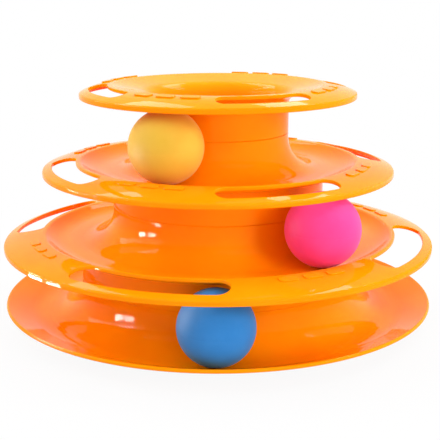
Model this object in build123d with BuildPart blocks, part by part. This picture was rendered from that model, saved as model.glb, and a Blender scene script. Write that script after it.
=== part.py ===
from build123d import *

import os
from collections import namedtuple
from math import atan2, cos, degrees, hypot, radians, sin, tan

# A cat toy tower: four round trays stacked on their hubs, with a loose ball in each of three tracks.
# Millimetres, +Z up, origin on the floor at the tower's axis, with the front of the toy towards -Y.
# Azimuths are in degrees from the front, positive towards +X.

# Walls, gaps and cuts
wall = 2.0
fit_gap = 0.3
ball_gap = 0.3
overrun = 10.0

# Balls: hollow, each welded from two half shells
ball_diameter = 40.0
ball_wall = 1.0
blue_ball_azimuth = -0.5
pink_ball_azimuth = 39.3
pink_ball_shift = 4.5
yellow_ball_azimuth = -26.2

# Pads under the base
pad_count = 4
pad_diameter = 14.0
pad_height = 2.5
pad_edge_round = 0.6
pad_boss_margin = 1.5
pad_azimuth = 45.0

# Trough: how the ball sits between the hub and the bank
side_gap = 0.8
flare_inset = 2.0
neck_straight = 2.2
nest_depth = 0.6

# Reach of each tray, from its ball track outwards, and of each track past the crest above it
top_rim_radius = 78.7
upper_track_lead = 1.2
upper_floor_reach = 2.0
upper_bank_reach = 17.8
lower_track_lead = 2.5
lower_floor_reach = 6.0
lower_bank_reach = 18.4
base_track_lead = 0.7
base_bank_slope = 22.0
base_bank_gap = 2.0
base_rim_inset = 0.4
base_rim_round = 0.8

# Domed flange of each tray, and its rim
lower_flange_width = 23.8
upper_flange_width = 21.6
top_flange_width = 18.7
crest_rise = 4.6
crest_round = 3.0
dome_rise = 1.1
rim_rise = 0.1
rim_round = 1.4
lip_height = 2.8
lip_round = 0.6

# Paw slots through the flange
slot_count = 4
slot_arc = 44.4
slot_inset = 2.6
rim_strip = 5.6
slot_corner_share = 0.47
slot_edge_round = 0.5
lower_turn = -19.0
upper_turn = 21.2
top_turn = 21.0

# Raised bars on the lands between slots
bar_count = 3
bar_length = 10.5
bar_width = 5.0
bar_height = 0.7
bar_corner = 2.0
bar_edge_round = 0.4
bar_pitch = 13.5
bar_share = 0.3

# Funnel and well of the top tray, which stands a little higher than its neighbours' pitch
top_lift = 1.5
funnel_drop = 5.0
well_round = 8.0
well_gap = 1.0
well_floor_round = 3.0

# Spigot joint between a hub and the neck skirt on it
spigot_height = 8.0
spigot_chamfer = 0.6
seam_round = 0.4
rib_count = 4
rib_width = 6.0
rib_drop = 1.0

# Worked out from the values above
ball_radius = ball_diameter / 2
track_offset = ball_radius + side_gap
flare_radius = ball_radius - flare_inset
seam_rise = flare_radius + neck_straight
tier_pitch = ball_diameter + wall - nest_depth

base_floor = pad_height + wall
lower_floor = base_floor + tier_pitch
upper_floor = lower_floor + tier_pitch
top_floor = upper_floor + tier_pitch + top_lift

top_crest_radius = top_rim_radius - top_flange_width
upper_track_radius = top_crest_radius + upper_track_lead
upper_crest_radius = upper_track_radius + upper_bank_reach
upper_rim_radius = upper_crest_radius + upper_flange_width
lower_track_radius = upper_crest_radius + lower_track_lead
lower_crest_radius = lower_track_radius + lower_bank_reach
lower_rim_radius = lower_crest_radius + lower_flange_width
base_track_radius = lower_crest_radius + base_track_lead
base_rim_radius = lower_rim_radius - base_rim_inset

base_hub_radius = base_track_radius - track_offset
lower_hub_radius = lower_track_radius - track_offset
upper_hub_radius = upper_track_radius - track_offset
well_radius = upper_hub_radius - wall

# A tray with a track, by its heights and radii, its own turn and the turn of the tray above it
Tier = namedtuple("Tier", "floor hub skirt flat crest rim turn turn_above")
lower_tier = Tier(
    floor=lower_floor,
    hub=lower_hub_radius,
    skirt=base_hub_radius,
    flat=lower_track_radius + lower_floor_reach,
    crest=lower_crest_radius,
    rim=lower_rim_radius,
    turn=lower_turn,
    turn_above=upper_turn,
)
upper_tier = Tier(
    floor=upper_floor,
    hub=upper_hub_radius,
    skirt=lower_hub_radius,
    flat=upper_track_radius + upper_floor_reach,
    crest=upper_crest_radius,
    rim=upper_rim_radius,
    turn=upper_turn,
    turn_above=top_turn,
)


def polar_angle(azimuth):
    """The angle from +X of an azimuth from the front."""
    return azimuth - 90.0


def at_azimuth(radius, azimuth, height):
    """The point at a radius and azimuth round the tower's axis."""
    angle = radians(polar_angle(azimuth))
    return Vector(radius * cos(angle), radius * sin(angle), height)


def hub_line(hub_radius, floor):
    """Draw the hub's outside, from the seam down its flare to the trough floor."""
    neck = Line((hub_radius, floor + seam_rise), (hub_radius, floor + flare_radius))
    return TangentArc(neck @ 1, (hub_radius + flare_radius, floor), tangent=neck % 1)


def flange_line(start, floor, rim_radius):
    """Draw the flange's domed upper side, from its crest down to the foot of the rim's lip."""
    rim = Vector(rim_radius, floor + rim_rise)
    dome = ThreePointArc(start, (start + rim) / 2 + Vector(0, dome_rise), rim)
    return Line(dome @ 1, (rim_radius, floor + rim_rise - lip_height))


def tray_line(tier):
    """Draw the upper side of a tray with a track, from its hub to its rim."""
    flare = hub_line(tier.hub, tier.floor)
    flat = Line(flare @ 1, (tier.flat, tier.floor))
    bank = TangentArc(flat @ 1, (tier.crest, tier.floor + crest_rise), tangent=flat % 1)
    return flange_line(bank @ 1, tier.floor, tier.rim)


def round_corner(sketch, point, radius):
    """Round the corner of a section that lies nearest to a point."""
    fillet(sketch.vertices().sort_by_distance(point)[0], radius)


def round_flange(sketch, floor, crest_radius, rim_radius):
    """Round the crest, the rim and the foot of the lip in a tray's section."""
    lip_foot = floor + rim_rise - lip_height
    slope = atan2(crest_rise - rim_rise, rim_radius - crest_radius)
    under_crest = (crest_radius + wall * sin(slope), floor + crest_rise - wall / cos(slope))
    round_corner(sketch, (crest_radius, floor + crest_rise), crest_round)
    round_corner(sketch, under_crest, crest_round - wall)
    round_corner(sketch, (rim_radius, floor + rim_rise), rim_round)
    round_corner(sketch, (rim_radius, lip_foot), lip_round)
    round_corner(sketch, (rim_radius - wall, lip_foot), lip_round)


def tray_shell(tier):
    """The section of a tray's wall, from its hub to its rim."""
    with BuildSketch(Plane.XZ) as section:
        with BuildLine():
            tray_line(tier)
            offset(amount=wall, side=Side.RIGHT)
        make_face()
        round_flange(section, tier.floor, tier.crest, tier.rim)
    return section.sketch


def neck_skirt(tier):
    """The section of the skirt that hangs from a tray's wall and stands on the hub below."""
    foot = tier.floor - tier_pitch + seam_rise
    with BuildSketch(Plane.XZ) as section:
        with BuildLine():
            lip = tray_line(tier)
            inside = tier.hub - wall
            Polyline(
                lip @ 1,
                (tier.rim, foot),
                (inside, foot),
                (inside, tier.floor + seam_rise),
                (tier.hub, tier.floor + seam_rise),
            )
        make_face()
        with Locations((tier.skirt - wall / 2, foot)):
            Rectangle(wall, 2 * tier_pitch, mode=Mode.INTERSECT)
        round_corner(section, (tier.skirt, foot), seam_round)
    return section.sketch


def spigot_ring(hub_radius, seam):
    """The section of the shoulder that a skirt sits on, and of the spigot that stands inside it."""
    outside = hub_radius - wall - fit_gap
    inside = outside - wall
    spigot_top = seam + spigot_height
    with BuildSketch(Plane.XZ) as section:
        with BuildLine():
            Polyline(
                (inside, seam - wall),
                (hub_radius, seam - wall),
                (hub_radius, seam),
                (outside, seam),
                (outside, spigot_top - spigot_chamfer),
                (outside - spigot_chamfer, spigot_top),
                (inside, spigot_top),
                close=True,
            )
        make_face()
    return section.sketch


def seam_edge(part, hub_radius, seam):
    """The outer edge of the shoulder at the top of a hub."""
    return part.edges().sort_by_distance(at_azimuth(hub_radius, pad_azimuth, seam))[0]


def spigot_notches(hub_radius, seam, turn):
    """The plan of the notches in a spigot that locating ribs drop into."""
    outside = hub_radius - wall
    inside = outside - fit_gap - wall - fit_gap
    with BuildSketch(Plane.XY.offset(seam)) as plan:
        with PolarLocations((outside + inside) / 2, rib_count, start_angle=polar_angle(turn)):
            Rectangle(outside - inside, rib_width + 2 * fit_gap)
    return plan.sketch


def locating_ribs(skirt_radius, seam, turn):
    """The plan of the ribs inside a neck skirt that stop its tray from turning."""
    outside = skirt_radius - wall / 2
    inside = skirt_radius - wall - fit_gap - wall
    with BuildSketch(Plane.XY.offset(seam)) as plan:
        with PolarLocations((outside + inside) / 2, rib_count, start_angle=polar_angle(turn)):
            Rectangle(outside - inside, rib_width)
    return plan.sketch


def paw_slots(floor, crest_radius, rim_radius, turn):
    """The plan of the slots through a flange."""
    inside = crest_radius + slot_inset
    outside = rim_radius - rim_strip
    with BuildSketch() as slot:
        with BuildLine():
            near = CenterArc((0, 0), inside, -slot_arc / 2, slot_arc)
            far = CenterArc((0, 0), outside, -slot_arc / 2, slot_arc)
            Line(near @ 0, far @ 0)
            Line(near @ 1, far @ 1)
        make_face()
        fillet(slot.vertices(), slot_corner_share * (outside - inside))
    with BuildSketch(Plane.XY.offset(floor - lip_height)) as plan:
        with PolarLocations(0, slot_count, start_angle=polar_angle(turn)):
            add(slot.sketch)
    return plan.sketch


def raised_bar():
    """One raised bar, standing on its own origin and rooted half a wall deep."""
    with BuildPart() as bar:
        with BuildSketch(Plane.XY.offset(-wall / 2)):
            RectangleRounded(bar_length, bar_width, bar_corner)
        extrude(amount=wall / 2 + bar_height)
        fillet(bar.faces().sort_by(Axis.Z)[-1].edges(), bar_edge_round)
    return bar.part


def bar_seats(floor, crest_radius, rim_radius, turn):
    """The planes on a domed flange where the raised bars of its lands stand."""
    width = rim_radius - crest_radius
    radius = crest_radius + bar_share * width
    fall = crest_rise - rim_rise
    swell = 4 * dome_rise * bar_share * (1 - bar_share)
    height = floor + crest_rise - bar_share * fall + swell
    drop = fall - 4 * dome_rise * (1 - 2 * bar_share)
    slope_length = hypot(drop, width)
    seats = []
    for land in range(slot_count):
        middle = turn + (land + 0.5) * 360.0 / slot_count
        for place in range(bar_count):
            azimuth = middle + degrees((place - (bar_count - 1) / 2) * bar_pitch / radius)
            normal = at_azimuth(drop / slope_length, azimuth, width / slope_length)
            tangent = at_azimuth(1, azimuth + 90.0, 0)
            seats.append(Plane(at_azimuth(radius, azimuth, height), x_dir=tangent, z_dir=normal))
    return seats


def ball_tray(tier):
    """A tray with a track: slotted flange outside, hub above, neck skirt below."""
    seam_above = tier.floor + seam_rise
    seam_below = seam_above - tier_pitch
    with BuildPart() as tray:
        revolve(tray_shell(tier), axis=Axis.Z)
        revolve(spigot_ring(tier.hub, seam_above), axis=Axis.Z)
        fillet(seam_edge(tray, tier.hub, seam_above), seam_round)
        extrude(
            paw_slots(tier.floor, tier.crest, tier.rim, tier.turn),
            amount=overrun + crest_rise,
            mode=Mode.SUBTRACT,
        )
        fillet(tray.edges(Select.LAST).filter_by(Axis.Z, reverse=True), slot_edge_round)
        with Locations(*bar_seats(tier.floor, tier.crest, tier.rim, tier.turn)):
            add(raised_bar())
        extrude(
            spigot_notches(tier.hub, seam_above, tier.turn_above),
            amount=spigot_height + overrun,
            mode=Mode.SUBTRACT,
        )
        revolve(neck_skirt(tier), axis=Axis.Z)
        extrude(locating_ribs(tier.skirt, seam_below, tier.turn), amount=spigot_height - rib_drop)
    return tray.part


def ball_shell(centre, start_angle):
    """One half shell of a ball, from the quarter circle that begins at an angle."""
    with BuildPart() as shell:
        with BuildSketch(Plane(centre, x_dir=(1, 0, 0), z_dir=(0, -1, 0))):
            with BuildLine():
                outside = CenterArc((0, 0), ball_radius, start_angle, 90)
                inside = CenterArc((0, 0), ball_radius - ball_wall, start_angle, 90)
                Line(outside @ 0, inside @ 0)
                Line(outside @ 1, inside @ 1)
            make_face()
        revolve(axis=Axis(centre, (0, 0, 1)))
    return shell.part


# Base tray: a shallow bowl with a plain rim and a bare spigot hub
base_seam = base_floor + seam_rise
bank_angle = radians(base_bank_slope)
bank_bend = ball_radius + base_bank_gap
bank_reach = bank_bend * sin(bank_angle)
bank_lift = bank_bend - bank_bend * cos(bank_angle)
bank_start = Vector(base_track_radius + bank_reach, base_floor + bank_lift)
base_rim = bank_start.Y + (base_rim_radius - bank_start.X) * tan(bank_angle)
with BuildPart() as base_tray:
    with BuildSketch(Plane.XZ) as bowl:
        with BuildLine():
            bowl_flare = hub_line(base_hub_radius, base_floor)
            bowl_flat = Line(bowl_flare @ 1, (base_track_radius, base_floor))
            bowl_bend = TangentArc(bowl_flat @ 1, bank_start, tangent=bowl_flat % 1)
            Line(bowl_bend @ 1, (base_rim_radius, base_rim))
            offset(amount=wall, side=Side.RIGHT)
        make_face()
        fillet(bowl.vertices().sort_by_distance((base_rim_radius, base_rim))[:2], base_rim_round)
    revolve(axis=Axis.Z)
    revolve(spigot_ring(base_hub_radius, base_seam), axis=Axis.Z)
    fillet(seam_edge(base_tray, base_hub_radius, base_seam), seam_round)
    extrude(
        spigot_notches(base_hub_radius, base_seam, lower_turn),
        amount=spigot_height + overrun,
        mode=Mode.SUBTRACT,
    )
    with BuildSketch(Plane.XY.offset(pad_height)):
        with PolarLocations(base_track_radius, pad_count, start_angle=polar_angle(pad_azimuth)):
            Circle(pad_diameter / 2 + pad_boss_margin)
    extrude(amount=wall / 2)

# Pads: short rubber discs on flat bosses under the ball track
with BuildPart() as anti_slip_pads:
    with BuildSketch():
        with PolarLocations(base_track_radius, pad_count, start_angle=polar_angle(pad_azimuth)):
            Circle(pad_diameter / 2)
    extrude(amount=pad_height)
    fillet(anti_slip_pads.faces().group_by(Axis.Z)[0].edges(), pad_edge_round)

# Top tray: a slotted flange round a funnel, with a closed well inside the neck
upper_seam = upper_floor + seam_rise
well_floor = upper_seam + spigot_height + well_gap + wall
shoulder = (well_radius, top_floor + crest_rise - funnel_drop)
with BuildPart() as top_tray:
    with BuildSketch(Plane.XZ) as funnel_section:
        with BuildLine():
            well = Line((well_radius, upper_seam), shoulder)
            funnel = Line(well @ 1, (top_crest_radius, top_floor + crest_rise))
            flange_line(funnel @ 1, top_floor, top_rim_radius)
            offset(amount=wall, side=Side.RIGHT)
        make_face()
        round_flange(funnel_section, top_floor, top_crest_radius, top_rim_radius)
        round_corner(funnel_section, shoulder, well_round)
        round_corner(funnel_section, (upper_hub_radius, shoulder[1] - wall), well_round - wall)
        round_corner(funnel_section, (upper_hub_radius, upper_seam), seam_round)
    revolve(axis=Axis.Z)
    extrude(
        paw_slots(top_floor, top_crest_radius, top_rim_radius, top_turn),
        amount=overrun + crest_rise,
        mode=Mode.SUBTRACT,
    )
    fillet(top_tray.edges(Select.LAST).filter_by(Axis.Z, reverse=True), slot_edge_round)
    with BuildSketch(Plane.XY.offset(well_floor - wall)):
        Circle(well_radius + wall / 2)
    extrude(amount=wall)
    well_corner = at_azimuth(well_radius, pad_azimuth, well_floor)
    fillet(top_tray.edges().sort_by_distance(well_corner)[0], well_floor_round)
    with Locations(*bar_seats(top_floor, top_crest_radius, top_rim_radius, top_turn)):
        add(raised_bar())
    extrude(
        locating_ribs(upper_hub_radius, upper_seam, top_turn),
        amount=spigot_height - rib_drop,
    )

# Balls: each stands just clear of its trough floor
ball_lift = ball_radius + ball_gap
blue_centre = at_azimuth(base_track_radius, blue_ball_azimuth, base_floor + ball_lift)
pink_track_radius = lower_track_radius + pink_ball_shift
pink_centre = at_azimuth(pink_track_radius, pink_ball_azimuth, lower_floor + ball_lift)
yellow_centre = at_azimuth(upper_track_radius, yellow_ball_azimuth, upper_floor + ball_lift)

pieces = {
    "base_tray": base_tray.part,
    "anti_slip_pads": anti_slip_pads.part,
    "lower_tray": ball_tray(lower_tier),
    "upper_tray": ball_tray(upper_tier),
    "top_tray": top_tray.part,
}
for colour, centre in (("blue", blue_centre), ("pink", pink_centre), ("yellow", yellow_centre)):
    pieces[colour + "_ball_top_shell"] = ball_shell(centre, 0)
    pieces[colour + "_ball_bottom_shell"] = ball_shell(centre, -90)

os.makedirs("parts", exist_ok=True)
for label, piece in pieces.items():
    piece.label = label
    export_step(piece, f"parts/{label}.step")
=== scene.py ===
import math

import bmesh
import bpy
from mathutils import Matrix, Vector


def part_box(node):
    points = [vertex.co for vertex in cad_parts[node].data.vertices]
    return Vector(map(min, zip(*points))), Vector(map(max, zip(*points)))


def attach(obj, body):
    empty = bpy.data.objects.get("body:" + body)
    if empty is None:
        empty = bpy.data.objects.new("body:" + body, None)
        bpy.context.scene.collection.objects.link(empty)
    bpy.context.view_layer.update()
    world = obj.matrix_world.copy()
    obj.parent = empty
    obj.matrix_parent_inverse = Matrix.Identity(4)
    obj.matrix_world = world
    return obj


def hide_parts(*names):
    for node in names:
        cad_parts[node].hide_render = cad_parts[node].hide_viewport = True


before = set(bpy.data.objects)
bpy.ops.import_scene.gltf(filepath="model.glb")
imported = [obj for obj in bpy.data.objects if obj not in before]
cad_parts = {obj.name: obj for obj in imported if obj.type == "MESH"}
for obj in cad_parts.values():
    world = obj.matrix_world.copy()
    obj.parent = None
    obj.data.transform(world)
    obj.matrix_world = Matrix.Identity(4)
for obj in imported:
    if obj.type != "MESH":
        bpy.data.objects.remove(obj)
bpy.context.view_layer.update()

# Metres, +Z up, origin on the floor at the tower's axis, front of the toy towards -Y
IMAGE_SIZE = 440
SENSOR = 36.0

# The photograph's camera
CAMERA_DISTANCE = 0.560
CAMERA_HEIGHT = 0.19426
CAMERA_PITCH = 14.07
CAMERA_CLIP = 0.01
FOCAL_PIXELS = 981.8
CENTRE_PIXEL = (217.98, 221.29)

# Balls
BALL_RADIUS = 0.020
BALL_SEAM_DEPTH = 0.00008
BALL_SEAM_HALF_WIDTH = 0.0003
BALL_SEAM_STEPS = 4
BALL_SEGMENTS = 128
BALL_RINGS = 96

# Skin of the moulded plastics: soft clouds and a fine grain, as noise detail and roughness
CLOUD_NOISE = (4.0, 0.55)
GRAIN_NOISE = (3.0, 0.6)
CLOUD_BUMP_STRENGTH = 0.15
CLOUD_BUMP_DEPTH = 0.0006
GRAIN_BUMP_STRENGTH = 0.5
GLOSS_BAND = (0.3, 0.7)
COLOUR_BAND = (0.35, 0.65)

# Orange trays, as the darker and lighter colour of their clouds and the shader's settings
ORANGE_COLOURS = ((0.99, 0.262, 0.001), (1.0, 0.288, 0.002))
ORANGE_SETTINGS = {
    "IOR": 1.15,
    "Specular Tint": (1.0, 0.9, 0.7, 1.0),
    "Subsurface Weight": 0.15,
    "Subsurface Radius": (1.0, 0.35, 0.05),
    "Subsurface Scale": 0.003,
}
# Rubber pads
RUBBER_COLOURS = ((0.030, 0.030, 0.032), (0.045, 0.045, 0.047))
RUBBER_SETTINGS = {"IOR": 1.5}
# Matte balls
BALL_COLOURS = {
    "blue": ((0.030, 0.195, 0.500), (0.038, 0.215, 0.540)),
    "pink": ((0.960, 0.055, 0.260), (1.000, 0.065, 0.285)),
    "yellow": ((0.710, 0.420, 0.042), (0.750, 0.450, 0.052)),
}
BALL_SETTINGS = {
    "IOR": 1.2,
    "Subsurface Weight": 0.2,
    "Subsurface Radius": (1.0, 0.8, 0.7),
    "Subsurface Scale": 0.002,
    "Sheen Weight": 0.15,
    "Sheen Roughness": 0.4,
}

# Studio
WORLD_STRENGTH = 0.68
FLOOR_SIZE = 2.4
FLOOR_ALBEDO = 0.6
FLOOR_FADE_START = 0.14
FLOOR_FADE_END = 0.30
FLOOR_GLOW_SHARE = 0.93
AIM = Vector((0, 0, 0.065))
LOWER_HUB_POINT = Vector((-0.0385, -0.0478, 0.0591))
BASE_HUB_POINT = Vector((-0.0497, -0.0639, 0.0163))

# Each lamp's name, azimuth off the front, elevation, distance, width, height, watts and the point it faces
LAMPS = (
    ("left_strip", -92, 28, 1.3, 1.4, 0.30, 7.0, AIM),
    ("high_left_strip", -106, 50, 1.3, 1.1, 0.14, 5.5, AIM),
    ("back_right_strip", 122, 54, 1.3, 1.4, 0.3, 13.0, AIM),
    ("back_left_box", -150, 50, 1.3, 0.5, 0.4, 4.0, AIM),
)
# A soft fill that lights the part and makes no highlight
FILLS = (
    ("right_box", 50, 16, 1.3, 0.5, 0.7, 10.3, AIM),
)
# Small panes close by that show only as highlights on the hubs
PANES = (
    ("lower_left_pane", -88, 11, 0.12, 0.026, 0.020, 0.190, LOWER_HUB_POINT),
    ("lower_middle_pane", -72, 11, 0.12, 0.026, 0.020, 0.170, LOWER_HUB_POINT),
    ("base_left_pane", -87.5, 10, 0.085, 0.017, 0.018, 0.110, BASE_HUB_POINT),
    ("base_middle_pane", -72.5, 10, 0.085, 0.017, 0.018, 0.100, BASE_HUB_POINT),
)


def new_material(name):
    """An empty node material with its output, and its nodes and links."""
    material = bpy.data.materials.new(name)
    material.use_nodes = True
    nodes = material.node_tree.nodes
    nodes.clear()
    output = nodes.new("ShaderNodeOutputMaterial")
    return material, nodes, material.node_tree.links, output


def noise(nodes, links, place, scale, detail, roughness):
    """A noise texture in the object's own coordinates."""
    texture = nodes.new("ShaderNodeTexNoise")
    texture.inputs["Scale"].default_value = scale
    texture.inputs["Detail"].default_value = detail
    texture.inputs["Roughness"].default_value = roughness
    links.new(place.outputs["Object"], texture.inputs["Vector"])
    return texture


def blend_colours(nodes, links, source, colours):
    """A colour ramp from the first colour to the second over the colour band of a grey value."""
    node = nodes.new("ShaderNodeValToRGB")
    for element, position, colour in zip(node.color_ramp.elements, COLOUR_BAND, colours):
        element.position = position
        element.color = (*colour, 1.0)
    links.new(source, node.inputs["Fac"])
    return node


def spread(nodes, links, source, low, high):
    """A grey value mapped from the gloss band to a low and a high value."""
    node = nodes.new("ShaderNodeMapRange")
    node.inputs["From Min"].default_value = GLOSS_BAND[0]
    node.inputs["From Max"].default_value = GLOSS_BAND[1]
    node.inputs["To Min"].default_value = low
    node.inputs["To Max"].default_value = high
    links.new(source, node.inputs["Value"])
    return node


def bump(nodes, links, height, strength, distance):
    """A bump from a height."""
    node = nodes.new("ShaderNodeBump")
    node.inputs["Strength"].default_value = strength
    node.inputs["Distance"].default_value = distance
    links.new(height, node.inputs["Height"])
    return node


def moulded_plastic(name, colours, settings, gloss, cloud_scale, grain_scale, grain_depth):
    """Moulded plastic: clouded colour, uneven gloss and a fine skin grain."""
    material, nodes, links, output = new_material(name)
    shader = nodes.new("ShaderNodeBsdfPrincipled")
    for socket, value in settings.items():
        shader.inputs[socket].default_value = value
    place = nodes.new("ShaderNodeTexCoord")
    cloud = noise(nodes, links, place, cloud_scale, *CLOUD_NOISE)
    grain = noise(nodes, links, place, grain_scale, *GRAIN_NOISE)
    colour = blend_colours(nodes, links, cloud.outputs["Fac"], colours)
    roughness = spread(nodes, links, grain.outputs["Fac"], *gloss)
    flow = bump(nodes, links, cloud.outputs["Fac"], CLOUD_BUMP_STRENGTH, CLOUD_BUMP_DEPTH)
    skin = bump(nodes, links, grain.outputs["Fac"], GRAIN_BUMP_STRENGTH, grain_depth)
    links.new(flow.outputs["Normal"], skin.inputs["Normal"])
    links.new(colour.outputs["Color"], shader.inputs["Base Color"])
    links.new(roughness.outputs["Result"], shader.inputs["Roughness"])
    links.new(skin.outputs["Normal"], shader.inputs["Normal"])
    links.new(shader.outputs["BSDF"], output.inputs["Surface"])
    return material


def ball_angles():
    """The latitudes of a ball's rings, set close together across its weld line."""
    seam_reach = 2 * BALL_SEAM_HALF_WIDTH / BALL_RADIUS
    angles = [-math.pi / 2 + math.pi * k / BALL_RINGS for k in range(BALL_RINGS + 1)]
    angles = [angle for angle in angles if abs(angle) > seam_reach]
    angles += [seam_reach * k / BALL_SEAM_STEPS for k in range(-BALL_SEAM_STEPS, BALL_SEAM_STEPS + 1)]
    return sorted(angles)


def ball_piece(name, body, shells, material):
    """A hollow ball seen from outside, with the faint weld line of its two halves."""
    low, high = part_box(shells[0])
    other_low, other_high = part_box(shells[1])
    centre = (Vector(map(min, low, other_low)) + Vector(map(max, high, other_high))) / 2
    seam_angle = BALL_SEAM_HALF_WIDTH / BALL_RADIUS
    mesh = bmesh.new()
    rings = []
    for angle in ball_angles()[1:-1]:
        share = max(0.0, 1 - abs(angle) / seam_angle)
        radius = BALL_RADIUS - BALL_SEAM_DEPTH * share * share * (3 - 2 * share)
        out = radius * math.cos(angle)
        ring = []
        for k in range(BALL_SEGMENTS):
            turn = 2 * math.pi * k / BALL_SEGMENTS
            offset = Vector((out * math.cos(turn), out * math.sin(turn), radius * math.sin(angle)))
            ring.append(mesh.verts.new(centre + offset))
        rings.append(ring)
    for lower, upper in zip(rings, rings[1:]):
        for k in range(BALL_SEGMENTS):
            after = (k + 1) % BALL_SEGMENTS
            mesh.faces.new((lower[k], lower[after], upper[after], upper[k]))
    for ring, side in ((rings[0], -1), (rings[-1], 1)):
        pole = mesh.verts.new(centre + Vector((0, 0, side * BALL_RADIUS)))
        for k in range(BALL_SEGMENTS):
            after = (k + 1) % BALL_SEGMENTS
            mesh.faces.new((ring[k], ring[after], pole) if side > 0 else (ring[after], ring[k], pole))
    for face in mesh.faces:
        face.smooth = True
    data = bpy.data.meshes.new(name)
    mesh.to_mesh(data)
    mesh.free()
    data.materials.append(material)
    piece = bpy.data.objects.new(name, data)
    bpy.context.scene.collection.objects.link(piece)
    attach(piece, body)
    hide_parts(*shells)


def seen_directly(nodes, links):
    """A grey value that is one for camera, glossy and transmission rays."""
    path = nodes.new("ShaderNodeLightPath")
    total = path.outputs["Is Camera Ray"]
    for name in ("Is Glossy Ray", "Is Transmission Ray"):
        either = nodes.new("ShaderNodeMath")
        either.operation = "MAXIMUM"
        links.new(total, either.inputs[0])
        links.new(path.outputs[name], either.inputs[1])
        total = either.outputs[0]
    return total


def floor_material():
    """Matte white that glows to the eye, less so near the object, so that its shadow shows."""
    material, nodes, links, output = new_material("studio_floor")
    matte = nodes.new("ShaderNodeBsdfDiffuse")
    matte.inputs["Color"].default_value = (FLOOR_ALBEDO, FLOOR_ALBEDO, FLOOR_ALBEDO, 1.0)
    glow = nodes.new("ShaderNodeEmission")
    place = nodes.new("ShaderNodeTexCoord")
    reach = nodes.new("ShaderNodeVectorMath")
    reach.operation = "LENGTH"
    links.new(place.outputs["Object"], reach.inputs[0])
    fade = nodes.new("ShaderNodeMapRange")
    fade.interpolation_type = "SMOOTHSTEP"
    fade.inputs["From Min"].default_value = FLOOR_FADE_START
    fade.inputs["From Max"].default_value = FLOOR_FADE_END
    fade.inputs["To Min"].default_value = FLOOR_GLOW_SHARE
    links.new(reach.outputs["Value"], fade.inputs["Value"])
    share = nodes.new("ShaderNodeMath")
    share.operation = "MULTIPLY"
    links.new(seen_directly(nodes, links), share.inputs[0])
    links.new(fade.outputs["Result"], share.inputs[1])
    blend = nodes.new("ShaderNodeMixShader")
    links.new(share.outputs[0], blend.inputs["Fac"])
    links.new(matte.outputs["BSDF"], blend.inputs[1])
    links.new(glow.outputs["Emission"], blend.inputs[2])
    links.new(blend.outputs["Shader"], output.inputs["Surface"])
    return material


def white_floor():
    """The studio floor, a plain square under the object."""
    half = FLOOR_SIZE / 2
    corners = [(-half, -half, 0), (half, -half, 0), (half, half, 0), (-half, half, 0)]
    data = bpy.data.meshes.new("studio_floor")
    data.from_pydata(corners, [], [(0, 1, 2, 3)])
    data.materials.append(floor_material())
    floor = bpy.data.objects.new("studio_floor", data)
    bpy.context.scene.collection.objects.link(floor)


def white_world():
    """Even white light all round, and plain white where it is seen."""
    world = bpy.data.worlds.new("studio_world")
    bpy.context.scene.world = world
    world.use_nodes = True
    nodes = world.node_tree.nodes
    links = world.node_tree.links
    nodes.clear()
    output = nodes.new("ShaderNodeOutputWorld")
    light = nodes.new("ShaderNodeBackground")
    light.inputs["Strength"].default_value = WORLD_STRENGTH
    seen = nodes.new("ShaderNodeBackground")
    blend = nodes.new("ShaderNodeMixShader")
    links.new(seen_directly(nodes, links), blend.inputs["Fac"])
    links.new(light.outputs["Background"], blend.inputs[1])
    links.new(seen.outputs["Background"], blend.inputs[2])
    links.new(blend.outputs["Shader"], output.inputs["Surface"])
    for background in (light, seen):
        background.inputs["Color"].default_value = (1.0, 1.0, 1.0, 1.0)


def softbox(name, azimuth, elevation, distance, width, height, watts, aim):
    """A rectangular lamp aimed at a point, from an azimuth off the front and an elevation."""
    turn = math.radians(azimuth)
    lift = math.radians(elevation)
    out = Vector((math.sin(turn) * math.cos(lift), -math.cos(turn) * math.cos(lift), math.sin(lift)))
    data = bpy.data.lights.new(name, "AREA")
    data.shape = "RECTANGLE"
    data.size = width
    data.size_y = height
    data.energy = watts
    lamp = bpy.data.objects.new(name, data)
    bpy.context.scene.collection.objects.link(lamp)
    lamp.location = aim + distance * out
    lamp.rotation_euler = (aim - lamp.location).to_track_quat("-Z", "Y").to_euler()
    return lamp


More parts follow.
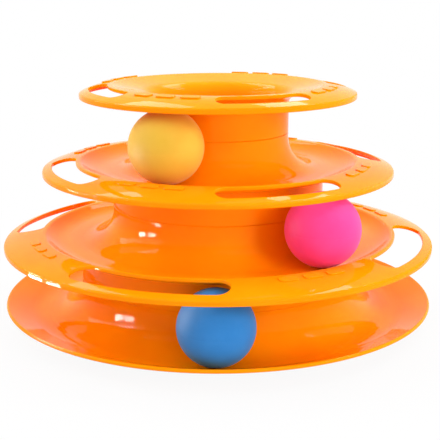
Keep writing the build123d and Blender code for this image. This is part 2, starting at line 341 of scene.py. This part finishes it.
def photo_camera():
    """The camera that took the photograph."""
    data = bpy.data.cameras.new("photo_camera")
    data.sensor_fit = "HORIZONTAL"
    data.sensor_width = SENSOR
    data.lens = FOCAL_PIXELS / IMAGE_SIZE * SENSOR
    data.shift_x = (IMAGE_SIZE / 2 - CENTRE_PIXEL[0]) / IMAGE_SIZE
    data.shift_y = (CENTRE_PIXEL[1] - IMAGE_SIZE / 2) / IMAGE_SIZE
    data.clip_start = CAMERA_CLIP
    camera = bpy.data.objects.new("photo_camera", data)
    bpy.context.scene.collection.objects.link(camera)
    camera.location = (0, -CAMERA_DISTANCE, CAMERA_HEIGHT)
    camera.rotation_euler = (math.radians(90 - CAMERA_PITCH), 0, 0)
    bpy.context.scene.camera = camera


orange = moulded_plastic(
    "orange_plastic",
    ORANGE_COLOURS,
    ORANGE_SETTINGS,
    gloss=(0.02, 0.05),
    cloud_scale=28.0,
    grain_scale=700.0,
    grain_depth=0.000004,
)
rubber = moulded_plastic(
    "pad_rubber",
    RUBBER_COLOURS,
    RUBBER_SETTINGS,
    gloss=(0.65, 0.85),
    cloud_scale=90.0,
    grain_scale=1500.0,
    grain_depth=0.00008,
)
node_materials = {
    "base_tray": orange,
    "lower_tray": orange,
    "upper_tray": orange,
    "top_tray": orange,
    "anti_slip_pads": rubber,
}
for node, material in node_materials.items():
    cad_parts[node].data.materials.clear()
    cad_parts[node].data.materials.append(material)

for colour, colours in BALL_COLOURS.items():
    finish = moulded_plastic(
        colour + "_plastic",
        colours,
        BALL_SETTINGS,
        gloss=(0.5, 0.65),
        cloud_scale=60.0,
        grain_scale=2200.0,
        grain_depth=0.00006,
    )
    ball_piece(
        colour + "_ball",
        colour + "_ball",
        (colour + "_ball_top_shell", colour + "_ball_bottom_shell"),
        finish,
    )

white_floor()
white_world()
for lamp_values in LAMPS:
    softbox(*lamp_values)
for fill_values in FILLS:
    softbox(*fill_values).visible_glossy = False
for pane_values in PANES:
    softbox(*pane_values).visible_diffuse = False
photo_camera()
bpy.context.scene.view_settings.view_transform = "Standard"
